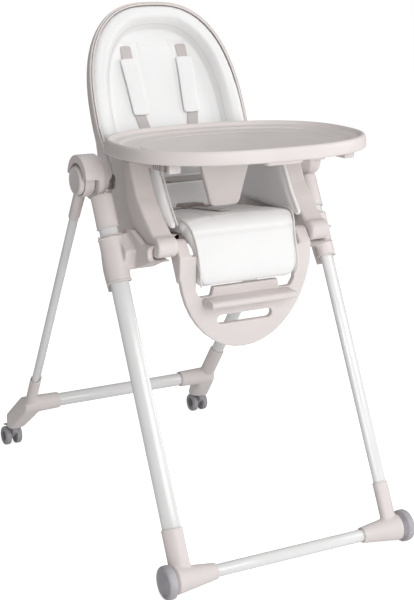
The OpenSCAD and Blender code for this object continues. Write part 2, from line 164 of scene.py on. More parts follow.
class Place:
    """A leaning frame of reference in the chair's middle plane: x across, y along it, z out of it."""

    def __init__(self, origin, along, out):
        self.origin = Vector(origin)
        self.along = Vector(along).normalized()
        self.out = Vector(out).normalized()

    def at(self, x, y, z):
        return self.origin + Vector((x * MM, 0, 0)) + (self.along * y + self.out * z) * MM


BACK_UP = Vector(JOINTS["recline_handle_pull"]["axis"])
BACK = Place(JOINTS["backrest_recline"]["pos_m"], BACK_UP, (0, -BACK_UP.z, BACK_UP.y))
LEG_UP = Vector(JOINTS["seat_height"]["axis"]) * -1
LEG_X, LEG_TWIST = 242, math.radians(27)
LEG_HALF_LONG, LEG_HALF_SHORT = 18.5, 11
TRAY_MOUNT = frame["record"]["mounts"][0]
TRAY_UP = Vector(TRAY_MOUNT["axis"])
TRAY_FLOOR = 6
TRAY_HALF_DEPTH, TRAY_POWER = 185, 2.45
TRAY = Place(Vector(TRAY_MOUNT["pos_m"]) - TRAY_UP * TRAY_FLOOR * MM, (0, TRAY_UP.z, -TRAY_UP.y), TRAY_UP)
PAN_SLOPE = math.radians(9)
PAN_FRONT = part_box("seat_pad")[0].y
CUSHION, CUSHION_LENGTH = 28, 246
PAN = Place((0, PAN_FRONT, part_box("seat_pad")[1].z - (CUSHION - 2) * MM * math.cos(PAN_SLOPE)),
            (0, math.cos(PAN_SLOPE), -math.sin(PAN_SLOPE)), (0, math.sin(PAN_SLOPE), math.cos(PAN_SLOPE)))


def leg_ring(side, grow, along):
    """An oval that stands off a front leg by grow, at a height above the foot's axis."""
    low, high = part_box(f"foot_cap_{side}")
    base = Vector((SIDES[side] * LEG_X * MM, (low.y + high.y) / 2, (low.z + high.z) / 2))
    back = ACROSS.cross(LEG_UP) * -1
    ring = []
    for i in range(40):
        a = 2 * math.pi * i / 40
        u, v = (LEG_HALF_LONG + grow) * math.cos(a), (LEG_HALF_SHORT + grow) * math.sin(a)
        x = u * math.cos(LEG_TWIST) - v * math.sin(LEG_TWIST)
        y = u * math.sin(LEG_TWIST) + v * math.cos(LEG_TWIST)
        ring.append(base + (ACROSS * SIDES[side] * x + back * y + LEG_UP * along) * MM)
    return ring


# ---------- modelling by hand ----------

def put(target, **values):
    for key, value in values.items():
        setattr(target, key, value)


def make_active(piece):
    if bpy.context.mode != "OBJECT":
        bpy.ops.object.mode_set(mode="OBJECT")
    bpy.ops.object.select_all(action="DESELECT")
    piece.select_set(True)
    bpy.context.view_layer.objects.active = piece


def edit(piece, *steps):
    """Runs edit-mode operators, each with everything selected first."""
    make_active(piece)
    bpy.ops.object.mode_set(mode="EDIT")
    for step in steps:
        bpy.ops.mesh.select_all(action="SELECT")
        step()
    bpy.ops.object.mode_set(mode="OBJECT")
    return piece


def apply_modifier(piece, kind, **values):
    make_active(piece)
    modifier = piece.modifiers.new(kind.title(), kind)
    put(modifier, **values)
    bpy.ops.object.modifier_apply(modifier=modifier.name)
    return piece


def subdivided(piece, levels=1):
    return apply_modifier(piece, "SUBSURF", levels=levels, render_levels=levels)


def outward(piece, merge=0.02 * MM):
    return edit(piece, lambda: bpy.ops.mesh.remove_doubles(threshold=merge),
                lambda: bpy.ops.mesh.normals_make_consistent(inside=False))


def grid(name, rows):
    """A surface through rows of points: a grid primitive whose vertices are moved to the rows."""
    bpy.ops.object.select_all(action="DESELECT")
    bpy.ops.mesh.primitive_grid_add(x_subdivisions=len(rows[0]) - 1, y_subdivisions=len(rows) - 1)
    piece = bpy.context.object
    piece.name = name
    for vertex, point in zip(piece.data.vertices, [p for row in rows for p in row], strict=True):
        vertex.co = point
    return piece


def fill_ends(piece):
    def fill():
        bpy.ops.mesh.select_all(action="DESELECT")
        bpy.ops.mesh.select_non_manifold()
        bpy.ops.mesh.fill_holes(sides=0)
    return edit(piece, fill, lambda: bpy.ops.mesh.normals_make_consistent(inside=False))


def loft(name, rings, levels=1):
    """A closed skin through rings of points, its first and last ring filled."""
    piece = grid(name, [list(ring) + [ring[0]] for ring in rings])
    outward(piece)
    fill_ends(piece)
    return subdivided(piece, levels) if levels else piece


def cord_round(name, path, radius, closed=False, sides=6):
    """A round cord along a path."""
    curve = bpy.data.curves.new(name, "CURVE")
    curve.dimensions = "3D"
    curve.bevel_depth = radius
    curve.bevel_resolution = sides - 2
    curve.use_fill_caps = not closed
    spline = curve.splines.new("POLY")
    spline.points.add(len(path) - 1)
    for place, point in zip(spline.points, path):
        place.co = (*point, 1)
    spline.use_cyclic_u = closed
    piece = bpy.data.objects.new(name, curve)
    bpy.context.scene.collection.objects.link(piece)
    make_active(piece)
    bpy.ops.object.convert(target="MESH")
    return outward(bpy.context.object, merge=0.001 * MM)


def piping(name, path, pitch=5 * MM):
    """The cord along a cover's seam."""
    return cord_round(name, resampled(path, pitch), covers().piping_radius)


def copy_node(node, name):
    """A merged copy of a frame node, flat faces whole again."""
    make_active(frame["nodes"][node])
    bpy.ops.object.duplicate(linked=False)
    piece = bpy.context.object
    piece.name = name
    piece.parent = None
    piece.data.materials.clear()
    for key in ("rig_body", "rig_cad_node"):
        del piece[key]
    if piece.data.has_custom_normals:
        bpy.ops.mesh.customdata_custom_splitnormals_clear()
    return edit(piece, lambda: bpy.ops.mesh.remove_doubles(threshold=0.01 * MM),
                lambda: bpy.ops.mesh.dissolve_limited(angle_limit=math.radians(0.6)))


def join(pieces, name):
    make_active(pieces[0])
    for piece in pieces[1:]:
        piece.select_set(True)
    bpy.ops.object.join()
    pieces[0].name = name
    return pieces[0]


def rounded(node, name, width=None, segments=3):
    """A frame node with its sharp edges rounded over."""
    return apply_modifier(copy_node(node, name), "BEVEL", width=width or shells().edge_radius, segments=segments,
                          limit_method="ANGLE", angle_limit=math.radians(32), use_clamp_overlap=True,
                          miter_outer="MITER_ARC")


def done(piece, material, body, nodes=(), angle=40):
    """Gives a finished piece its material, its shading and its body, and hides the nodes that it stands for."""
    slot, recipe = FINISHES[material]
    make_active(piece)
    piece.data.materials.clear()
    piece.data.materials.append(bpy.data.materials.get(material) or recipe(material))
    bpy.ops.object.shade_smooth_by_angle(angle=math.radians(angle))
    if body:
        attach(piece, body)
    if nodes:
        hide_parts(*nodes)
    return piece


def rounded_part(node, name, material="greige_plastic", width=None, segments=3, angle=40):
    """A frame node with rounded edges, as a finished piece."""
    return done(rounded(node, name, width, segments), material, BODY_OF[node], [node], angle)


def moulded_part(node, name, passes, voxel=None):
    """A frame node with soft fillets, as a finished piece."""
    piece = copy_node(node, name)
    apply_modifier(piece, "REMESH", mode="VOXEL", voxel_size=voxel or shells().fillet_voxel)
    apply_modifier(piece, "SMOOTH", factor=0.5, iterations=passes)
    return done(piece, "greige_plastic", BODY_OF[node], [node])


def turned(name, box, profile, count):
    """A piece turned about X in the middle of a box, from the place and the reach of each ring."""
    low, high = box
    middle, radius = (low + high) / 2, (high.z - low.z) / 2
    turns = [2 * math.pi * (k + 0.5) / count for k in range(count)]
    return loft(name, [[(x, middle.y + math.cos(a) * radius * reach, middle.z + math.sin(a) * radius * reach)
                        for a in turns] for x, reach in profile])


def turned_cap(name, node, side, profile, count):
    """A piece turned from its inner face at 0 to its outer face at 1."""
    low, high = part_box(node)
    inner, outer = (high.x, low.x) if side == "left" else (low.x, high.x)
    return turned(name, (low, high), [(inner + (outer - inner) * along, reach) for along, reach in profile], count)


def leg_beads(name, side, beads):
    """Cords round a front leg; each has how far it stands off, its height and its radius."""
    return join([cord_round(name, leg_ring(side, grow, along), radius * MM, closed=True)
                 for grow, along, radius in beads], name)


# ---------- outlines ----------

def squircle(half_x, half_y, power, count=96):
    def bent(value):
        return math.copysign(abs(value) ** (2 / power), value)
    turns = [2 * math.pi * (i + 0.5) / count for i in range(count)]
    return [(half_x * bent(math.cos(a)), half_y * bent(math.sin(a))) for a in turns]


def rounded_outline(corners, radius, steps=5):
    """A closed outline with each corner rounded by an arc of about that radius."""
    points = []
    for i, corner in enumerate(corners):
        here = Vector(corner)
        before = (Vector(corners[i - 1]) - here)
        after = (Vector(corners[(i + 1) % len(corners)]) - here)
        reach = min(radius, before.length * 0.45, after.length * 0.45)
        a = here + before.normalized() * reach
        b = here + after.normalized() * reach
        for k in range(steps + 1):
            t = k / steps
            points.append(tuple(a * (1 - t) ** 2 + here * 2 * t * (1 - t) + b * t ** 2))
    return points


def shrunk(outline, by):
    """The outline moved inwards by a distance, along the bisector at each point."""
    count = len(outline)
    area = sum(outline[i - 1][0] * outline[i][1] - outline[i][0] * outline[i - 1][1] for i in range(count))
    turn = 1 if area > 0 else -1
    moved = []
    for i in range(count):
        ahead = Vector(outline[(i + 1) % count]) - Vector(outline[i - 1])
        inward = Vector((-ahead.y, ahead.x)).normalized() * turn
        moved.append(tuple(Vector(outline[i]) + inward * by))
    return moved


def resampled(path, pitch):
    """Points at an even pitch along a path."""
    points = [Vector(p) for p in path]
    lengths = [0.0]
    for a, b in zip(points, points[1:]):
        lengths.append(lengths[-1] + (b - a).length)
    count = max(2, round(lengths[-1] / pitch))
    even = []
    k = 0
    for i in range(count + 1):
        want = lengths[-1] * i / count
        while k < len(points) - 2 and lengths[k + 1] < want:
            k += 1
        span = lengths[k + 1] - lengths[k] or 1.0
        even.append(points[k].lerp(points[k + 1], (want - lengths[k]) / span))
    return even


# ---------- padded covers ----------

def stuffed(piece, cap, voxel=None):
    """Fills a closed cover: cloth under pressure, each point held within cap of where it started."""
    settings = covers()
    apply_modifier(piece, "REMESH", mode="VOXEL", voxel_size=voxel or settings.voxel)
    apply_modifier(piece, "SMOOTH", factor=0.5, iterations=4)
    start = [vertex.co.copy() for vertex in piece.data.vertices]
    cloth = piece.modifiers.new("Filling", "CLOTH")
    put(cloth.settings, quality=4, mass=0.35, tension_stiffness=22, compression_stiffness=22,
        bending_stiffness=3, use_pressure=True, uniform_pressure_force=settings.pressure)
    cloth.settings.effector_weights.gravity = 0
    cloth.collision_settings.use_collision = False
    put(cloth.point_cache, frame_start=1, frame_end=settings.frames)
    for step in range(1, settings.frames + 1):
        bpy.context.scene.frame_set(step)
    make_active(piece)
    bpy.ops.object.modifier_apply(modifier=cloth.name)
    for vertex, origin in zip(piece.data.vertices, start):
        move = vertex.co - origin
        if move.length > 1e-9:
            vertex.co = origin + move * (cap / (cap + move.length))
    bpy.context.scene.frame_set(1)
    apply_modifier(piece, "SMOOTH", factor=0.5, iterations=2)
    return subdivided(piece)


def sewn(piece, path, depth, width, facing):
    """Pulls the cover in along a seam."""
    line = resampled(path, 1.5 * MM)
    tree = KDTree(len(line))
    for i, point in enumerate(line):
        tree.insert(point, i)
    tree.balance()
    facing = Vector(facing)
    normals = [entry.vector.copy() for entry in piece.data.vertex_normals]
    for vertex, normal in zip(piece.data.vertices, normals):
        if normal.dot(facing) > 0.1:
            distance = tree.find(vertex.co)[2]
            vertex.co -= normal * depth * math.exp(-(distance / width) ** 2)
    return piece


def onto(path, target, facing, lift=0.0):
    """Drops a path onto a cover's surface, looking against facing."""
    facing = Vector(facing).normalized()
    dropped = []
    for point in path:
        hit, place, normal, _ = target.ray_cast(Vector(point) + facing * 0.2, -facing)
        dropped.append(place + normal * lift if hit else Vector(point))
    return dropped


def stitches(name, path, facing, length=3.2 * MM, thick=0.45 * MM):
    """A row of thread stitches, each a small pointed bead, along a path."""
    line = resampled(path, covers().stitch_pitch)
    points, faces = [], []
    facing = Vector(facing)
    for i in range(len(line) - 1):
        ahead = (line[i + 1] - line[i]).normalized()
        across = ahead.cross(facing).normalized()
        up = across.cross(ahead)
        first = len(points)
        for along, size in ((-0.5, 0.25), (-0.35, 1.0), (0.35, 1.0), (0.5, 0.25)):
            middle = line[i] + ahead * along * length
            for a, b in ((1, 0), (0, 1), (-1, 0), (0, -1)):
                points.append(middle + (across * a + up * b) * thick * size)
        for ring in range(3):
            for k in range(4):
                base = first + ring * 4
                faces.append((base + k, base + (k + 1) % 4, base + 4 + (k + 1) % 4, base + 4 + k))
        faces.append(tuple(first + k for k in (3, 2, 1, 0)))
        faces.append(tuple(first + 12 + k for k in (0, 1, 2, 3)))
    mesh = bpy.data.meshes.new(name)
    mesh.from_pydata(points, [], faces)
    piece = bpy.data.objects.new(name, mesh)
    bpy.context.scene.collection.objects.link(piece)
    return outward(piece, merge=0.001 * MM)


def pad_between(name, outline, low, high, point, round_over=6, cap=8 * MM, voxel=None):
    """A stuffed pad over an outline, from one depth to another; point(u, v, depth) places it."""
    rings = []
    for inset, depth in ((round_over, low), (round_over * 0.3, low + round_over * 0.3), (0, low + round_over),
                         (0, high - round_over), (round_over * 0.3, high - round_over * 0.3),
                         (round_over, high)):
        rings.append([point(u, v, depth) for u, v in shrunk(outline, inset)])
    return stuffed(loft(name, rings, levels=0), cap, voxel)


# ---------- materials ----------

def new_material(name, colour, roughness, **sockets):
    material = bpy.data.materials.new(name)
    material.use_nodes = True
    shader = material.node_tree.nodes["Principled BSDF"]
    shader.inputs["Base Color"].default_value = (*colour, 1)
    shader.inputs["Roughness"].default_value = roughness
    for key, value in sockets.items():
        shader.inputs[key.replace("_", " ").title().replace("Ior", "IOR")].default_value = value
    return material, material.node_tree, shader


def add(tree, kind, inputs=None, **values):
    node = tree.nodes.new(kind)
    put(node, **values)
    for key, value in (inputs or {}).items():
        node.inputs[key].default_value = value
    return node


def texture(tree, kind, scale, stretch=(1, 1, 1), **inputs):
    """A texture on Object coordinates, scale in features per metre."""
    coordinates = add(tree, "ShaderNodeTexCoord")
    mapping = add(tree, "ShaderNodeMapping", {"Scale": stretch})
    node = add(tree, kind, {"Scale": scale, **inputs})
    tree.links.new(coordinates.outputs["Object"], mapping.inputs["Vector"])
    tree.links.new(mapping.outputs["Vector"], node.inputs["Vector"])
    return node


def noise(tree, scale, detail, **how):
    return texture(tree, "ShaderNodeTexNoise", scale, Detail=detail, **how)


def vary_colour(tree, shader, source, colour, dark, light):
    ramp = add(tree, "ShaderNodeValToRGB")
    for stop, place, factor in zip(ramp.color_ramp.elements, (0.3, 0.7), (dark, light)):
        stop.position = place
        stop.color = (*tinted(colour, factor), 1)
    tree.links.new(source, ramp.inputs["Fac"])
    tree.links.new(ramp.outputs["Color"], shader.inputs["Base Color"])


def vary_roughness(tree, shader, source, low, high):
    spread = add(tree, "ShaderNodeMapRange", {"To Min": low, "To Max": high})
    tree.links.new(source, spread.inputs["Value"])
    tree.links.new(spread.outputs["Result"], shader.inputs["Roughness"])


def bump(tree, shader, source, strength, distance, below=None):
    node = add(tree, "ShaderNodeBump", {"Strength": strength, "Distance": distance})
    tree.links.new(source, node.inputs["Height"])
    if below:
        tree.links.new(below.outputs["Normal"], node.inputs["Normal"])
    tree.links.new(node.outputs["Normal"], shader.inputs["Normal"])
    return node


def tinted(colour, factor):
    return tuple(channel * factor for channel in colour)


def moulded_plastic(name, colour, roughness=0.42):
    """Satin moulded plastic: fine spark grain, faint flow marks and handling scuffs."""
    material, tree, shader = new_material(name, colour, roughness, specular_ior_level=0.45)
    cloud = noise(tree, 9, 3)
    grain = noise(tree, 1500, 2)
    flow = noise(tree, 45, 4, stretch=(1, 1, 0.3))
    vary_colour(tree, shader, cloud.outputs["Fac"], colour, 0.965, 1.03)
    vary_roughness(tree, shader, flow.outputs["Fac"], roughness - 0.08, roughness + 0.1)
    soft = bump(tree, shader, flow.outputs["Fac"], 0.08, 0.6 * MM)
    bump(tree, shader, grain.outputs["Fac"], 0.16, 0.12 * MM, soft)
    return material


def painted_tube(name, colour):
    """Gloss powder coat: faint orange peel and a faint cloudy variation."""
    material, tree, shader = new_material(name, colour, 0.22, coat_weight=0.35, coat_roughness=0.08)
    peel = noise(tree, 420, 2)
    cloud = noise(tree, 12, 3)
    vary_colour(tree, shader, cloud.outputs["Fac"], colour, 0.975, 1.015)
    vary_roughness(tree, shader, cloud.outputs["Fac"], 0.16, 0.32)
    bump(tree, shader, peel.outputs["Fac"], 0.12, 0.15 * MM)
    return material


def leatherette(name, colour):
    """Coated cover: pebble grain, soft creases and a low sheen."""
    material, tree, shader = new_material(name, colour, 0.42, sheen_weight=0.08, sheen_roughness=0.4,
                                          coat_weight=0.12, coat_roughness=0.35)
    pebble = texture(tree, "ShaderNodeTexVoronoi", 780)
    crease = noise(tree, 26, 5, Distortion=0.6)
    cloud = noise(tree, 7, 2)
    vary_colour(tree, shader, cloud.outputs["Fac"], colour, 0.97, 1.02)
    vary_roughness(tree, shader, pebble.outputs["Distance"], 0.36, 0.56)
    soft = bump(tree, shader, crease.outputs["Fac"], 0.22, 1.6 * MM)
    bump(tree, shader, pebble.outputs["Distance"], 0.2, 0.22 * MM, soft)
    return material


def woven_webbing(name, colour):
    """Narrow woven tape: ribs across it and threads along it."""
    material, tree, shader = new_material(name, colour, 0.85, sheen_weight=0.3, sheen_roughness=0.5)
    across = texture(tree, "ShaderNodeTexWave", 110, stretch=(0, 1, 1))
    along = texture(tree, "ShaderNodeTexWave", 160, stretch=(1, 0, 0))
    weave = add(tree, "ShaderNodeMath", operation="MULTIPLY")
    tree.links.new(across.outputs["Fac"], weave.inputs[0])
    tree.links.new(along.outputs["Fac"], weave.inputs[1])
    vary_colour(tree, shader, weave.outputs["Value"], colour, 0.75, 1.15)
    bump(tree, shader, weave.outputs["Value"], 0.6, 0.5 * MM)
    return material


def moulded_rubber(name, colour):
    """Matte rubber: a fine texture, a paler bloom and dusty patches."""
    material, tree, shader = new_material(name, colour, 0.62, specular_ior_level=0.3)
    bloom = noise(tree, 30, 4)
    grain = noise(tree, 1100, 2)
    vary_colour(tree, shader, bloom.outputs["Fac"], colour, 0.88, 1.16)
    vary_roughness(tree, shader, bloom.outputs["Fac"], 0.5, 0.75)
    bump(tree, shader, grain.outputs["Fac"], 0.3, 0.2 * MM)
    return material


def turned_steel(name, colour=(0.56, 0.57, 0.59)):
    """Bright steel with fine turning marks round its length."""
    material, tree, shader = new_material(name, colour, 0.3, metallic=1.0)
    marks = noise(tree, 900, 2, stretch=(1, 0.05, 0.05))
    vary_roughness(tree, shader, marks.outputs["Fac"], 0.2, 0.42)
    vary_colour(tree, shader, marks.outputs["Fac"], colour, 0.92, 1.06)
    bump(tree, shader, marks.outputs["Fac"], 0.1, 0.05 * MM)
    return material


FINISHES = {
    "greige_plastic": ("shell", lambda n: moulded_plastic(n, shells().shell_colour)),
    "trim_plastic": ("trim", lambda n: moulded_plastic(n, shells().trim_colour, 0.5)),
    "dark_plastic": ("wheel", lambda n: moulded_plastic(n, tinted(shells().caster_colour, 0.35), 0.55)),
    "caster_plastic": ("wheel", lambda n: moulded_plastic(n, shells().caster_colour, 0.5)),
    "white_tube": ("tube", lambda n: painted_tube(n, shells().tube_colour)),
    "white_leatherette": ("pad", lambda n: leatherette(n, covers().cover_colour)),
    "piping_leatherette": ("pad", lambda n: leatherette(n, covers().piping_colour)),
    "harness_webbing": ("webbing", lambda n: woven_webbing(n, shells().webbing_colour)),
    "foot_rubber": ("foot", lambda n: moulded_rubber(n, shells().rubber_colour)),
    "pin_steel": ("pin", turned_steel),
}


# ---------- frame ----------

class CHAIR_OT_tubes(bpy.types.Operator):
    """Legs and cross tubes"""
    bl_idname = "chair.tubes"
    bl_label = "Tubes"

    def execute(self, context):
        for side in SIDES:
            for leg in ("front_leg", "rear_leg"):
                self.tube(f"{leg}_{side}", f"{leg}_tube_{side}")
        for node in ("front_cross_tube", "rear_cross_tube"):
            self.tube(node, f"{node}_painted")
        return {"FINISHED"}

    def tube(self, node, name):
        rounded_part(node, name, "white_tube", 0.5 * MM, 2, angle=50)


class CHAIR_OT_front_feet(bpy.types.Operator):
    """Front foot fittings and their rubber caps"""
    bl_idname = "chair.front_feet"
    bl_label = "Front feet"

    def execute(self, context):
        for side in SIDES:
            node = f"front_foot_{side}"
            moulded_part(node, f"front_foot_fitting_{side}", 8)
            done(leg_beads(f"front_foot_bead_{side}", side, [(1.9, 94.5, 1.5)]), "greige_plastic", BODY_OF[node])
            self.cap(side)
        return {"FINISHED"}

    def cap(self, side):
        """A dished rubber cap, turned from its profile, with a groove behind its rim."""
        node = f"foot_cap_{side}"
        profile = [(0.0, 0.60), (0.0, 0.70), (0.10, 0.74), (0.16, 0.86), (0.20, 0.955), (0.26, 1.0), (0.62, 1.0),
                   (0.80, 0.985), (0.93, 0.93), (0.99, 0.86), (1.0, 0.80), (0.965, 0.76), (0.90, 0.74),
                   (0.885, 0.70), (0.885, 0.35), (0.90, 0.31), (0.925, 0.26), (0.93, 0.1)]
        done(turned_cap(f"foot_cap_rubber_{side}", node, side, profile, 64), "foot_rubber", BODY_OF[node], [node])


class CHAIR_OT_fold_hinges(bpy.types.Operator):
    """Leg housings, rear knuckles and the round fold buttons"""
    bl_idname = "chair.fold_hinges"
    bl_label = "Fold hinges"

    def execute(self, context):
        for side in SIDES:
            moulded_part(f"leg_housing_{side}", f"leg_housing_hood_{side}", 9, 1.6 * MM)
            moulded_part(f"rear_knuckle_{side}", f"rear_knuckle_sleeve_{side}", 9, 1.6 * MM)
            done(leg_beads(f"leg_housing_seam_{side}", side, [(2.8, 690, 1.6), (3.1, 698, 0.7)]), "greige_plastic",
                 BODY_OF[f"leg_housing_{side}"])
            self.button(side)
            rounded_part(f"fold_pin_{side}", f"fold_pin_turned_{side}", "pin_steel", 0.6 * MM)
        return {"FINISHED"}

    def button(self, side):
        """A soft-edged disc with a shallow dish and a finger ring."""
        node = f"fold_button_{side}"
        profile = [(0.0, 0.90), (0.0, 0.99), (0.3, 1.0), (0.7, 0.985), (0.92, 0.94), (1.0, 0.87), (0.99, 0.80),
                   (0.93, 0.76), (0.90, 0.70), (0.88, 0.45), (0.86, 0.2), (0.86, 0.05)]
        done(turned_cap(f"fold_button_dished_{side}", node, side, profile, 56), "greige_plastic", BODY_OF[node],
             [node])


class CHAIR_OT_rear_feet(bpy.types.Operator):
    """Rear feet over the casters"""
    bl_idname = "chair.rear_feet"
    bl_label = "Rear feet"

    def execute(self, context):
        for side in SIDES:
            moulded_part(f"rear_foot_{side}", f"rear_foot_boot_{side}", 6)
        return {"FINISHED"}


class CHAIR_OT_casters(bpy.types.Operator):
    """Twin-wheel casters, their axles and brake levers"""
    bl_idname = "chair.casters"
    bl_label = "Casters"

    def execute(self, context):
        for side in SIDES:
            for part, width, material in (("caster_body", 1.2, "caster_plastic"),
                                          ("caster_wheels", 0.7, "caster_plastic"),
                                          ("caster_axle", 0.4, "pin_steel"), ("caster_brake", 1.0, "trim_plastic")):
                rounded_part(f"{part}_{side}", f"{part}_{side}_moulded", material, width * MM)
            self.hubs(side)
        return {"FINISHED"}

    def hubs(self, side):
        """A dark hub cap in the dish of each wheel."""
        node = f"caster_wheels_{side}"
        low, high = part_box(node)
        profile = ((0.64, 2.4), (0.62, 1.7), (0.40, 1.5), (0.34, 0.7), (0.30, 0.5), (0.1, 0.5))
        caps = [turned("hub", (low, high), [(face - out * depth * MM, reach) for reach, depth in profile], 40)
                for face, out in ((low.x, -1), (high.x, 1))]
        done(join(caps, f"caster_hubs_{side}"), "dark_plastic", BODY_OF[node])


# ---------- seat ----------

class CHAIR_OT_sliders(bpy.types.Operator):
    """Seat sliders on the front legs and their squeeze levers"""
    bl_idname = "chair.sliders"
    bl_label = "Sliders"

    def execute(self, context):
        for side in SIDES:
            moulded_part(f"seat_slider_{side}", f"seat_slider_sleeve_{side}", 12)
            collars = leg_beads(f"seat_slider_collars_{side}", side,
                                [(5.0, 581, 2.0), (5.3, 668, 1.6), (4.6, 673.5, 1.0)])
            done(collars, "greige_plastic", "seat")
            node = f"height_lever_{side}"
            lever = rounded(node, f"height_lever_grip_{side}", 2.2 * MM)
            low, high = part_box(node)
            ribs = [cord_round("rib", [Vector((x, low.y + (high.y - low.y) * t + 1.2 * MM,
                                               low.z + (high.z - low.z) * (0.16 + 0.36 * t)))
                                       for x in (low.x + 4 * MM, high.x - 4 * MM)], 1.1 * MM, sides=5)
                    for t in (0.62, 0.72, 0.82)]
            done(join([lever, *ribs], f"height_lever_grip_{side}"), "greige_plastic", BODY_OF[node], [node])
        return {"FINISHED"}


class CHAIR_OT_seat_sides(bpy.types.Operator):
    """Moulded seat sides and the pan between them"""
    bl_idname = "chair.seat_sides"
    bl_label = "Seat sides"

    def execute(self, context):
        for side in SIDES:
            moulded_part(f"seat_side_{side}", f"seat_side_shell_{side}", 26, 2.2 * MM)
        rounded_part("seat_pan", "seat_pan_moulded")
        for node in ("recline_pins", "legrest_pins"):
            rounded_part(node, f"{node}_turned", "pin_steel", 0.5 * MM)
        return {"FINISHED"}


class CHAIR_OT_seat_covers(bpy.types.Operator):
    """Seat cushion, the apron over its front edge, and the side linings"""
    bl_idname = "chair.seat_covers"
    bl_label = "Seat covers"

    def execute(self, context):
        self.cushion()
        for side in SIDES:
            self.lining(side)
        self.rear_roll()
        self.apron()
        return {"FINISHED"}

    def cushion(self):
        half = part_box("seat_pad")[1].x / MM
        outline = rounded_outline([(-half, 0), (half, 0), (half, CUSHION_LENGTH), (-half, CUSHION_LENGTH)], 22)
        pad = pad_between("seat_cushion", outline, 0, CUSHION - 2, PAN.at, round_over=10, cap=6 * MM)
        for x in (-58, 58):
            sewn(pad, [PAN.at(x, y, CUSHION) for y in range(6, 240, 6)], 2.4 * MM, 3.5 * MM, PAN.out)
        done(pad, "white_leatherette", "seat", ["seat_pad"])

    def lining(self, side):
        sign = SIDES[side]
        low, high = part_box(f"side_pad_{side}")
        face = max(abs(low.x), abs(high.x)) / MM
        corners = [(-178, 647), (-181, 655), (-150, 690), (-120, 736), (-102, 760), (-60, 758), (64, 752), (70, 742),
                   (58, 690), (51, 642), (-60, 642)]
        pad = pad_between(f"side_lining_{side}", rounded_outline(corners, 12), 0, 15,
                          lambda y, z, depth: Vector((sign * (face - depth), y, z)) * MM, round_over=5, cap=4 * MM,
                          voxel=4 * MM)
        done(pad, "white_leatherette", "seat", [f"side_pad_{side}"])
        seam = ((-182, 656), (-152, 691), (-122, 737), (-104, 761), (-60, 760), (60, 753))
        edge = [Vector((sign * (face - 13), y, z)) * MM for y, z in seam]
        done(piping(f"side_piping_{side}", edge), "piping_leatherette", "seat")

    def rolled(self, name, profile, widths, levels=2):
        """A padded roll: one side profile carried across the seat, drawn in at each end."""
        middle = Vector((sum(p[0] for p in profile), sum(p[1] for p in profile))) / len(profile)
        rings = []
        for t, squeeze in ((-1, 0.5), (-0.985, 0.9), (-0.93, 1), (-0.5, 1), (0, 1), (0.5, 1), (0.93, 1),
                           (0.985, 0.9), (1, 0.5)):
            ring = [middle.lerp(Vector(point), squeeze) for point in profile]
            rings.append([(t * width * MM, p.x * MM, p.y * MM) for p, width in zip(ring, widths)])
        return loft(name, rings, levels=levels)

    def rear_roll(self):
        """The cushion turns up to meet the backrest."""
        profile = [(20, 634), (40, 634), (56, 642), (67, 660), (73, 681), (79, 679), (78, 660), (70, 640), (56, 626),
                   (24, 622)]
        roll = self.rolled("seat_cover_rear", profile, [116] * len(profile))
        done(roll, "white_leatherette", "seat")

    def apron(self):
        """The cover runs on over the seat's front edge and down the leg rest."""
        outer = [(-146, 662), (-168, 664.5), (-186, 660), (-199, 648), (-207, 632), (-215, 612), (-223, 590),
                 (-228, 568), (-228, 550), (-223, 539)]
        inner = [(-217, 539), (-217, 560), (-215, 586), (-207, 610), (-199, 630), (-187, 644), (-170, 653),
                 (-146, 654)]
        widths = [126, 125, 122, 118, 115, 113, 113, 113, 112, 108, 108, 110, 112, 112, 114, 118, 122, 124]
        pad = self.rolled("seat_apron", outer + inner, widths)
        sewn(pad, [(x * MM, -0.2035, 0.640) for x in range(-112, 113, 4)], 2.2 * MM, 3.5 * MM, (0, -1, 0.4))
        edges = []
        for side in (-1, 1):
            line = [(side * (width - 1.5) * MM, (y - 1.0) * MM, z * MM) for (y, z), width in zip(outer, widths)]
            edges.append(piping("edge", line))
        for piece, material in ((pad, "white_leatherette"), (join(edges, "seat_apron_piping"), "piping_leatherette")):
            done(piece, material, None)
            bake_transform(piece)


# ---------- backrest ----------

BACK_SHOULDER, BACK_TOP, BACK_TAPER, BACK_POWER = 163, 430, 0.115, 2.6


def back_half(y):
    """Half the backrest's width at a height above the recline axis."""
    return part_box("backrest_shell")[1].x / MM - max(0, BACK_SHOULDER - y) * BACK_TAPER


def back_outline(inset, foot, count=14):
    """The backrest's outline in its own plane, a distance inside the shell's edge."""
    corner = min(30, max(6, (BACK_SHOULDER - foot) * 0.7))
    half, rise = back_half(BACK_SHOULDER) - inset, BACK_TOP - inset - BACK_SHOULDER
    points = []
    for i in range(2 * count + 1):
        a = math.pi * i / (2 * count)
        bend = abs(math.cos(a)) ** (2 / BACK_POWER) * (1 if a <= math.pi / 2 else -1)
        points.append((half * bend, BACK_SHOULDER + rise * math.sin(a) ** (2 / BACK_POWER)))
    heights = [BACK_SHOULDER - (BACK_SHOULDER - foot - corner) * t for t in (0.25, 0.5, 0.75)]
    points += [(inset - back_half(y), y) for y in heights]
    low = back_half(foot) - inset - corner
    points += [(-low + corner * math.cos(a), foot + corner + corner * math.sin(a))
               for a in (math.pi + math.pi / 2 * i / 6 for i in range(7))]
    points += [(low * t, foot) for t in (-0.66, -0.33, 0, 0.33, 0.66)]
    points += [(low + corner * math.cos(a), foot + corner + corner * math.sin(a))
               for a in (1.5 * math.pi + math.pi / 2 * i / 6 for i in range(7))]
    return points + [(back_half(y) - inset, y) for y in reversed(heights)]


def back_edge(inset, foot):
    """The outline without its lower end: up one side, over the top and down the other."""
    points = back_outline(inset, foot)
    return points[-3:] + points[:32]


def eased(t):
    t = min(1, max(0, t))
    return t * t * (3 - 2 * t)


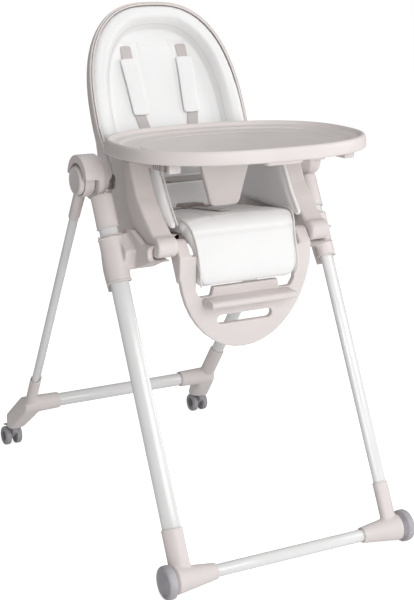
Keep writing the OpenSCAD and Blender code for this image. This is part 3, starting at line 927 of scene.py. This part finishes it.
def back_rings(profile, floor, edge=0):
    """Rings of the backrest; across its open lower end they sink to the floor, but for the outer edge."""
    rings = []
    for inset, foot, z in profile:
        ring = []
        for x, y in back_outline(inset, foot):
            rise = max(eased((y - 106) / 34), eased((abs(x) - back_half(y) + edge) / 8) if edge else 0)
            ring.append(BACK.at(x, y, min(z, floor + (z - floor) * rise) if z > floor else z))
        rings.append(ring)
    return rings


class CHAIR_OT_backrest(bpy.types.Operator):
    """Backrest shell, padded cover, piping, arms and handle"""
    bl_idname = "chair.backrest"
    bl_label = "Backrest"

    def execute(self, context):
        self.shell()
        self.cover()
        rounded_part("recline_arms", "recline_arms_moulded")
        rounded_part("recline_handle", "recline_handle_moulded", "trim_plastic", 2.5 * MM)
        return {"FINISHED"}

    def shell(self):
        """A deep moulded dish with a rolled rim."""
        profile = [(66, 60, -3), (50, 54, -2), (34, 50, 9), (20, 47, 26), (11, 45, 44), (7.5, 45, 60), (6, 45, 69),
                   (4.4, 44.5, 73), (2.6, 44, 74), (0.8, 44, 72.6), (0, 44, 69), (0.8, 44, 60), (4, 44.5, 47),
                   (10, 46, 32), (19, 50, 16), (30, 58, 4), (44, 70, -5), (62, 86, -9), (85, 108, -10)]
        done(loft("backrest_shell_moulded", back_rings(profile, -2, edge=14)), "greige_plastic", "backrest",
             ["backrest_shell"])

    def cover(self):
        """The cover: a rolled bolster round a sunken middle panel."""
        profile = [(70, 66, 2), (52, 58, 3), (37, 55, 13), (24, 53, 28), (14, 52, 46), (8.5, 52, 60), (7, 52, 69),
                   (9, 53, 76), (15, 57, 80), (25, 66, 79.5), (35, 76, 73), (44, 86, 61), (51, 95, 48), (58, 102, 42),
                   (74, 112, 40), (104, 130, 43)]
        pad = stuffed(loft("backrest_cover", back_rings(profile, 41), levels=0), 5 * MM)
        sewn(pad, [BACK.at(x, y, 46) for x, y in back_edge(52, 100)], 3.5 * MM, 4 * MM, BACK.out)
        for x in (-38, 38):
            sewn(pad, [BACK.at(x, y, 43) for y in range(70, 350, 6)], 2.2 * MM, 4 * MM, BACK.out)
        for y in (120, 345):
            sewn(pad, [BACK.at(x, y, 43) for x in range(-108, 109, 6)], 2.0 * MM, 4 * MM, BACK.out)
        done(pad, "white_leatherette", "backrest", ["backrest_pad"])
        done(piping("backrest_piping", [BACK.at(x, y, 73.5) for x, y in back_edge(7.2, 60)], 4 * MM),
             "piping_leatherette", "backrest")
        row = onto([BACK.at(x, y, 60) for x, y in back_edge(47, 100)], pad, BACK.out, 0.2 * MM)
        done(stitches("backrest_stitching", row, BACK.out), "harness_webbing", "backrest")


class CHAIR_OT_harness(bpy.types.Operator):
    """Five-point harness"""
    bl_idname = "chair.harness"
    bl_label = "Harness"

    def execute(self, context):
        cover = bpy.data.objects["backrest_cover"]
        for side, sign in SIDES.items():
            line = onto([BACK.at(sign * (60 + 6 * eased((y - 176) / 146)), y, 64) for y in range(186, 318, 6)],
                        cover, BACK.out, 2.6 * MM)
            pad = self.strap(f"shoulder_pad_{side}", line, ACROSS, 38, 4.6)
            done(pad, "white_leatherette", "backrest", [f"shoulder_strap_{side}"])
            line = onto([BACK.at(sign * (40 + 26 * eased((y - 70) / 150)), y, 64) for y in range(72, 346, 6)],
                        cover, BACK.out, 0.6 * MM)
            done(self.strap(f"shoulder_strap_woven_{side}", line, ACROSS, 25, 1.8), "harness_webbing", "backrest")
        cushion = bpy.data.objects["seat_cushion"]
        line = onto([PAN.at(0, y, 45) for y in range(60, 192, 6)], cushion, PAN.out, 1.2 * MM)
        done(self.strap("crotch_strap_woven", line, ACROSS, 26, 2.4), "harness_webbing", "seat",
             ["crotch_strap"])
        belts = []
        for sign in SIDES.values():
            line = onto([PAN.at(sign * x, 209, 45) for x in range(20, 132, 6)], cushion, PAN.out, 1.2 * MM)
            belts.append(self.strap("belt", line, PAN.along, 25, 2.4))
        done(join(belts, "waist_straps_woven"), "harness_webbing", "seat", ["waist_straps"])
        rounded_part("harness_buckle", "harness_buckle_moulded", "trim_plastic", 4 * MM, 4)
        return {"FINISHED"}

    def strap(self, name, line, across, width, thick):
        """A flat tape with rounded edges along a line."""
        rings = []
        for i, point in enumerate(line):
            ahead = (line[min(i + 1, len(line) - 1)] - line[max(i - 1, 0)]).normalized()
            up = ahead.cross(across).normalized()
            if up.z < 0:
                up = -up
            profile = [(-0.5, 0.3), (-0.47, 0.0), (0.47, 0.0), (0.5, 0.3), (0.5, 0.7), (0.45, 1.0), (-0.45, 1.0),
                       (-0.5, 0.7)]
            rings.append([point + (across * a * width + up * b * thick) * MM for a, b in profile])
        return loft(name, rings)


# ---------- leg rest ----------

class CHAIR_OT_leg_rest(bpy.types.Operator):
    """Leg rest plate, foot ledge and calf cover"""
    bl_idname = "chair.leg_rest"
    bl_label = "Leg rest"

    def execute(self, context):
        moulded_part("legrest_frame", "leg_rest_plate", 8)
        rounded_part("foot_ledge", "foot_ledge_moulded", width=2.5 * MM, segments=4)
        self.calf_cover()
        return {"FINISHED"}

    def calf_cover(self):
        low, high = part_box("calf_pad")
        half = high.x / MM
        front, back = low.y / MM, high.y / MM
        outline = rounded_outline([(-half, 535), (half, 535), (half, 598), (-half, 598)], 14)
        pad = pad_between("calf_cover", outline, -back, -front - 11,
                          lambda x, z, depth: Vector((x, -depth, z)) * MM, round_over=8, cap=5 * MM)
        done(pad, "white_leatherette", "leg_rest", ["calf_pad"])


# ---------- tray ----------

def tray_outline(inset):
    """The tray's edge, moved inwards by inset."""
    return squircle(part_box("tray_dish")[1].x / MM - inset, TRAY_HALF_DEPTH - inset, TRAY_POWER)


class CHAIR_OT_tray(bpy.types.Operator):
    """Tray dish, rails, latches, release and crotch guard"""
    bl_idname = "chair.tray"
    bl_label = "Tray"

    def execute(self, context):
        self.dish()
        for node, width in (("tray_rails", 2.0), ("crotch_guard", 4.0)):
            rounded_part(node, f"{node}_moulded", width=width * MM, segments=4)
        rounded_part("tray_release", "tray_release_moulded", width=6.5 * MM, segments=6)
        for side in SIDES:
            node = f"tray_latch_{side}"
            rounded_part(node, f"{node}_moulded", "trim_plastic", 2 * MM)
            self.latch_grip(side)
        self.plate_ring()
        return {"FINISHED"}

    def latch_grip(self, side):
        """Three raised grip bars on the end of a latch."""
        low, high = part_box(f"tray_latch_{side}")
        face = low.x if side == "left" else high.x
        ends = (low.z + 3 * MM, high.z - 3 * MM)
        bars = [cord_round("bar", [Vector((face, low.y + (high.y - low.y) * t, z)) for z in ends], 1.0 * MM, sides=5)
                for t in (0.28, 0.5, 0.72)]
        done(join(bars, f"tray_latch_grip_{side}"), "greige_plastic", BODY_OF[f"tray_latch_{side}"])

    def plate_ring(self):
        """A low ridge round the floor of the recess."""
        ring = [TRAY.at(x, y - 4, TRAY_FLOOR - 0.1) for x, y in squircle(200, 124, 2.3)]
        done(cord_round("tray_plate_ring", ring, 1.0 * MM, closed=True), "greige_plastic", "tray")

    def dish(self):
        """A raised soft rim round a stepped recess."""
        profile = [(150, 2), (60, 2), (12, 2), (5.5, 1.2), (4.4, -2), (4.2, -6), (3.2, -7), (1.2, -6.4), (0, -4.5),
                   (0, -2), (0.3, 6), (1.0, 13), (2.6, 17.5), (5.5, 19.6), (8.5, 19.8), (11, 18.4), (13.2, 15.2),
                   (15.2, 12.6), (18.5, 11.4), (27, 11), (30, 10.4), (32.5, 8.4), (36, 6.6), (44, 6.1), (110, 6)]
        rings = [[TRAY.at(x, y, z) for x, y in tray_outline(inset)] for inset, z in profile]
        done(loft("tray_dish_moulded", rings), "greige_plastic", "tray", ["tray_dish"])


# ---------- studio ----------

SENSOR_WIDTH = 36
SHIFT_X, SHIFT_Y = 0.01025, -0.0008


class CHAIR_OT_studio(bpy.types.Operator):
    """Floor, light and camera"""
    bl_idname = "chair.studio"
    bl_label = "Studio"

    def execute(self, context):
        self.floor()
        self.light()
        self.camera()
        return {"FINISHED"}

    def floor(self):
        bpy.ops.object.select_all(action="DESELECT")
        bpy.ops.mesh.primitive_plane_add(size=40)
        floor = bpy.context.object
        floor.name = "studio_floor"
        material, tree, shader = new_material("studio_paper", studio().floor_colour[:], 0.9,
                                              specular_ior_level=0.1)
        glow = add(tree, "ShaderNodeLightPath")
        lift = add(tree, "ShaderNodeMath", {1: studio().floor_glow}, operation="MULTIPLY")
        tree.links.new(glow.outputs["Is Camera Ray"], lift.inputs[0])
        tree.links.new(lift.outputs["Value"], shader.inputs["Emission Strength"])
        shader.inputs["Emission Color"].default_value = (1, 1, 1, 1)
        tooth = noise(tree, 300, 2)
        bump(tree, shader, tooth.outputs["Fac"], 0.05, 0.2 * MM)
        floor.data.materials.append(material)

    def light(self):
        world = bpy.data.worlds.new("studio_sky")
        bpy.context.scene.world = world
        world.use_nodes = True
        sky = world.node_tree.nodes["Background"]
        sky.inputs["Color"].default_value = (1, 1, 1, 1)
        sky.inputs["Strength"].default_value = studio().world_strength
        middle = Vector((0, 0, 0.6))
        for name, place, size, power in (("key", (-0.1, -3.3, 1.8), 2.2, 1.0), ("side", (3.0, -1.4, 1.5), 1.6, 0.46),
                                         ("top", (0.3, -0.4, 3.0), 2.4, 0.22)):
            bpy.ops.object.light_add(type="AREA", location=place)
            lamp = bpy.context.object
            lamp.name = f"{name}_light"
            lamp.data.size = size
            lamp.data.energy = studio().key_power * power
            lamp.rotation_euler = (middle - Vector(place)).to_track_quat("-Z", "Y").to_euler()

    def camera(self):
        heading, pitch, roll = studio().camera_heading, studio().camera_pitch, studio().camera_roll
        ahead = Vector((-math.sin(heading) * math.cos(pitch), math.cos(heading) * math.cos(pitch),
                        -math.sin(pitch)))
        level = Vector((math.cos(heading), math.sin(heading), 0))
        upright = level.cross(ahead)
        right = level * math.cos(roll) + upright * math.sin(roll)
        up = upright * math.cos(roll) - level * math.sin(roll)
        bpy.ops.object.camera_add()
        camera = bpy.context.object
        camera.name = "studio_camera"
        turn = Matrix((right, up, -ahead)).transposed()
        camera.matrix_world = Matrix.Translation(studio().camera_place) @ turn.to_4x4()
        put(camera.data, lens=studio().lens, sensor_width=SENSOR_WIDTH, shift_x=SHIFT_X, shift_y=SHIFT_Y)
        bpy.context.scene.camera = camera
        bpy.context.scene.view_settings.view_transform = "Standard"


OPERATORS = (CHAIR_OT_tubes, CHAIR_OT_front_feet, CHAIR_OT_fold_hinges, CHAIR_OT_rear_feet, CHAIR_OT_casters,
             CHAIR_OT_sliders, CHAIR_OT_seat_sides, CHAIR_OT_seat_covers, CHAIR_OT_backrest, CHAIR_OT_harness,
             CHAIR_OT_leg_rest, CHAIR_OT_tray, CHAIR_OT_studio)


class CHAIR_PT_panel(bpy.types.Panel):
    """Sizes, colours and the steps that build the chair"""
    bl_idname = "CHAIR_PT_panel"
    bl_label = "Baby High Chair"
    bl_space_type = "VIEW_3D"
    bl_region_type = "UI"
    bl_category = "High Chair"

    def draw(self, context):
        for group in (context.scene.chair_shells, context.scene.chair_covers, context.scene.chair_studio):
            box = self.layout.box()
            for name in group.bl_rna.properties.keys():
                if name not in ("rna_type", "name"):
                    box.prop(group, name)
        for operator in OPERATORS:
            self.layout.operator(operator.bl_idname)


CLASSES = (ChairShellSettings, ChairCoverSettings, ChairStudioSettings, *OPERATORS, CHAIR_PT_panel)


def register():
    for item in CLASSES:
        bpy.utils.register_class(item)
    bpy.types.Scene.chair_shells = bpy.props.PointerProperty(type=ChairShellSettings)
    bpy.types.Scene.chair_covers = bpy.props.PointerProperty(type=ChairCoverSettings)
    bpy.types.Scene.chair_studio = bpy.props.PointerProperty(type=ChairStudioSettings)


def unregister():
    for name in ("chair_shells", "chair_covers", "chair_studio"):
        delattr(bpy.types.Scene, name)
    for item in reversed(CLASSES):
        bpy.utils.unregister_class(item)


def main():
    register()
    bpy.ops.chair.tubes()
    bpy.ops.chair.front_feet()
    bpy.ops.chair.fold_hinges()
    bpy.ops.chair.rear_feet()
    bpy.ops.chair.casters()
    bpy.ops.chair.sliders()
    bpy.ops.chair.seat_sides()
    bpy.ops.chair.seat_covers()
    bpy.ops.chair.backrest()
    bpy.ops.chair.harness()
    bpy.ops.chair.leg_rest()
    bpy.ops.chair.tray()
    bpy.ops.chair.studio()


if __name__ == "__main__":
    main()
